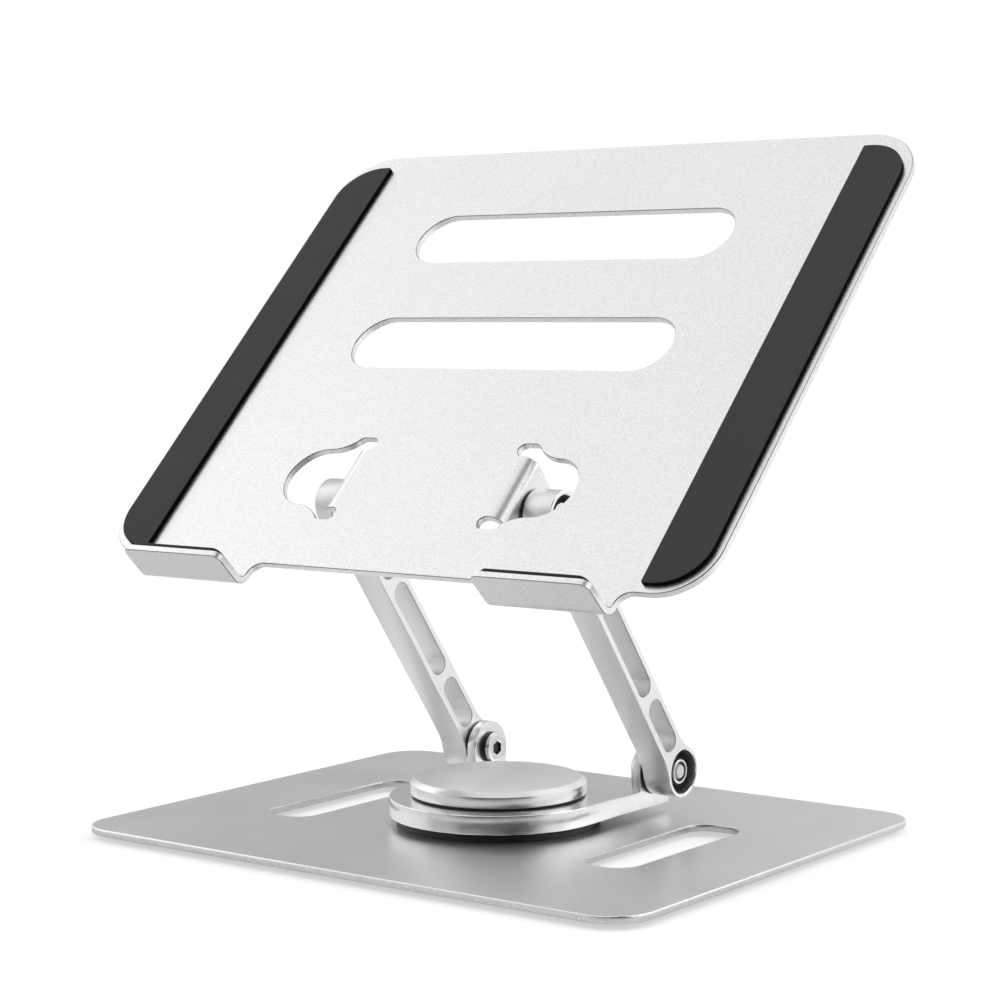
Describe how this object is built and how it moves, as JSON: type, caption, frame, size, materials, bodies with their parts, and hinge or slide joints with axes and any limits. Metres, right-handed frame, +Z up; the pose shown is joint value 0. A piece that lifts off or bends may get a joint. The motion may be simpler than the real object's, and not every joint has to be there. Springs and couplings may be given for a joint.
{
  "type": "folding tablet stand",
  "caption": "Folding tablet stand with a tilting slotted tray on two hinged arms, a swivel joint and a flat slotted base plate.",
  "frame": {"origin": "on the swivel axis at the height of the table, under the centre of the base plate", "axes": "+Z up along the swivel axis, +X to the user's right along the tray's width, +Y to the back, away from the user who faces the tray"},
  "size_m": [0.2716, 0.198, 0.2596],
  "materials": {
    "anodised_sheet": "bead-blasted silver anodising with bright cut edges",
    "anodised_solid": "satin silver anodising on milled solid",
    "bolt_steel": "bright plated steel",
    "zinc_steel": "turned steel",
    "washer_plastic": "black low-friction plastic",
    "bush_plastic": "natural nylon",
    "insert_nylon": "black nylon",
    "pad_silicone": "matt dark grey silicone",
    "strip_rubber": "matt black rubber",
    "foot_silicone": "matt dark silicone"
  },
  "bodies": {
    "base": {"base_plate": "anodised_sheet", "base_feet": "foot_silicone", "lower_thrust_washer": "washer_plastic", "swivel_spindle": "zinc_steel", "cap_screws": "zinc_steel", "upper_thrust_washer": "washer_plastic", "swivel_cap": "anodised_solid"},
    "swivel": {"swivel_bracket": "anodised_solid", "swivel_bush": "bush_plastic", "lower_hinge_bolts": "bolt_steel", "lower_head_washers": "washer_plastic", "lower_friction_washers": "washer_plastic", "lower_nut_washers": "washer_plastic", "lower_lock_nuts": "bolt_steel", "lower_nut_inserts": "insert_nylon"},
    "arms": {"left_arm": "anodised_solid", "right_arm": "anodised_solid"},
    "upper_pins": {"upper_hinge_bolts": "bolt_steel", "upper_head_washers": "washer_plastic", "upper_friction_washers": "washer_plastic", "upper_nut_washers": "washer_plastic", "upper_lock_nuts": "bolt_steel", "upper_nut_inserts": "insert_nylon"},
    "tray": {"tray_plate": "anodised_sheet", "left_pad": "pad_silicone", "right_pad": "pad_silicone", "left_lip_strip": "strip_rubber", "right_lip_strip": "strip_rubber"}
  },
  "joints": [
    {"name": "swivel_turn", "type": "hinge", "parent": "base", "child": "swivel", "pos_m": [0, 0, 0], "axis": [0, 0, 1], "continuous": true},
    {"name": "arms_fold", "type": "hinge", "parent": "swivel", "child": "arms", "pos_m": [0, 0.044, 0.0222], "axis": [-1, 0, 0], "range_deg": [-53.5, 46.5]},
    {"name": "pins_turn", "type": "hinge", "parent": "arms", "child": "upper_pins", "pos_m": [0, -0.0316, 0.12437], "axis": [1, 0, 0], "range_deg": [-80.3, 69.8]},
    {"name": "tray_tilt", "type": "hinge", "parent": "upper_pins", "child": "tray", "pos_m": [0, -0.0316, 0.12437], "axis": [1, 0, 0], "range_deg": [-18.25, 12]}
  ],
  "couplings": [
    {"joint": "pins_turn", "follows": "arms_fold", "ratio": 1.5}
  ]
}
